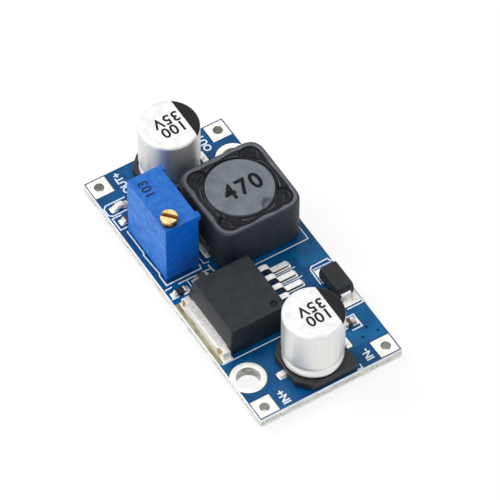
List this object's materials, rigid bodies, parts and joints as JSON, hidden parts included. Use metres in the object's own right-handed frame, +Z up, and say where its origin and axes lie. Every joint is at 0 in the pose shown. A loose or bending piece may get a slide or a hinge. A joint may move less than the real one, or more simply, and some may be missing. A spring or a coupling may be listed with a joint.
{
  "type": "buck converter module",
  "caption": "Small blue step-down power converter board with a shielded coil, regulator, two can capacitors and a multi-turn trimmer.",
  "frame": {"origin": "centre of the board on its underside", "axes": "+X along the board from the output end to the input end, +Y from the + terminals to the - terminals, +Z up through the board"},
  "size_m": [0.0432, 0.0208, 0.0141],
  "materials": {
    "mask": "glossy blue solder mask over glass-epoxy laminate",
    "tin": "bright tin over copper",
    "can": "satin drawn aluminium",
    "black_base": "black moulded plastic",
    "bung": "black rubber",
    "ferrite": "dark grey ferrite",
    "wire": "enamelled copper wire",
    "adhesive": "black cured adhesive",
    "blue_plastic": "blue moulded plastic",
    "brass": "turned brass",
    "white_plastic": "natural moulded plastic",
    "resin": "grey potting resin",
    "alumina": "fired alumina with a printed track",
    "moulding": "black moulding compound",
    "lens": "pale clear resin",
    "black_film": "black-coated ceramic",
    "brown_ceramic": "brown fired ceramic"
  },
  "bodies": {
    "board_assembly": {"printed_circuit_board": "mask", "corner_pads": "tin", "mounting_rings": "tin", "component_lands": "tin", "input_capacitor_can": "can", "input_capacitor_base": "black_base", "input_capacitor_bung": "bung", "input_capacitor_leads": "tin", "output_capacitor_can": "can", "output_capacitor_base": "black_base", "output_capacitor_bung": "bung", "output_capacitor_leads": "tin", "inductor_shield": "ferrite", "inductor_drum": "ferrite", "inductor_winding": "wire", "inductor_adhesive": "adhesive", "inductor_clips": "tin", "trimmer_housing": "blue_plastic", "trimmer_element": "alumina", "trimmer_resin": "resin", "trimmer_pins": "tin", "regulator_body": "moulding", "regulator_tab": "tin", "regulator_leads": "tin", "diode_body": "moulding", "diode_leads": "tin", "indicator_lamp_base": "white_plastic", "indicator_lamp_lens": "lens", "indicator_lamp_ends": "tin", "lamp_resistor_body": "black_film", "lamp_resistor_ends": "tin", "feedback_resistor_body": "black_film", "feedback_resistor_ends": "tin", "feedback_capacitor_body": "brown_ceramic", "feedback_capacitor_ends": "tin", "bypass_capacitor_body": "brown_ceramic", "bypass_capacitor_ends": "tin", "surface_solder": "tin", "pin_solder": "tin"},
    "adjusting_screw": {"trimmer_screw": "brass", "trimmer_seal_ring": "bung"},
    "wiper_wheel": {"trimmer_worm_wheel": "white_plastic", "trimmer_wiper": "brass"}
  },
  "joints": [
    {"name": "screw_turn", "type": "hinge", "parent": "board_assembly", "child": "adjusting_screw", "pos_m": [-0.00402, -0.00803, 0.00682], "axis": [0, 0, 1], "range_deg": [-4500, 4500]},
    {"name": "wheel_turn", "type": "hinge", "parent": "board_assembly", "child": "wiper_wheel", "pos_m": [-0.00796, -0.00803, 0.00682], "axis": [0, 1, 0], "range_deg": [-150, 150]}
  ],
  "couplings": [
    {"joint": "wheel_turn", "follows": "screw_turn", "ratio": 0.033333}
  ]
}
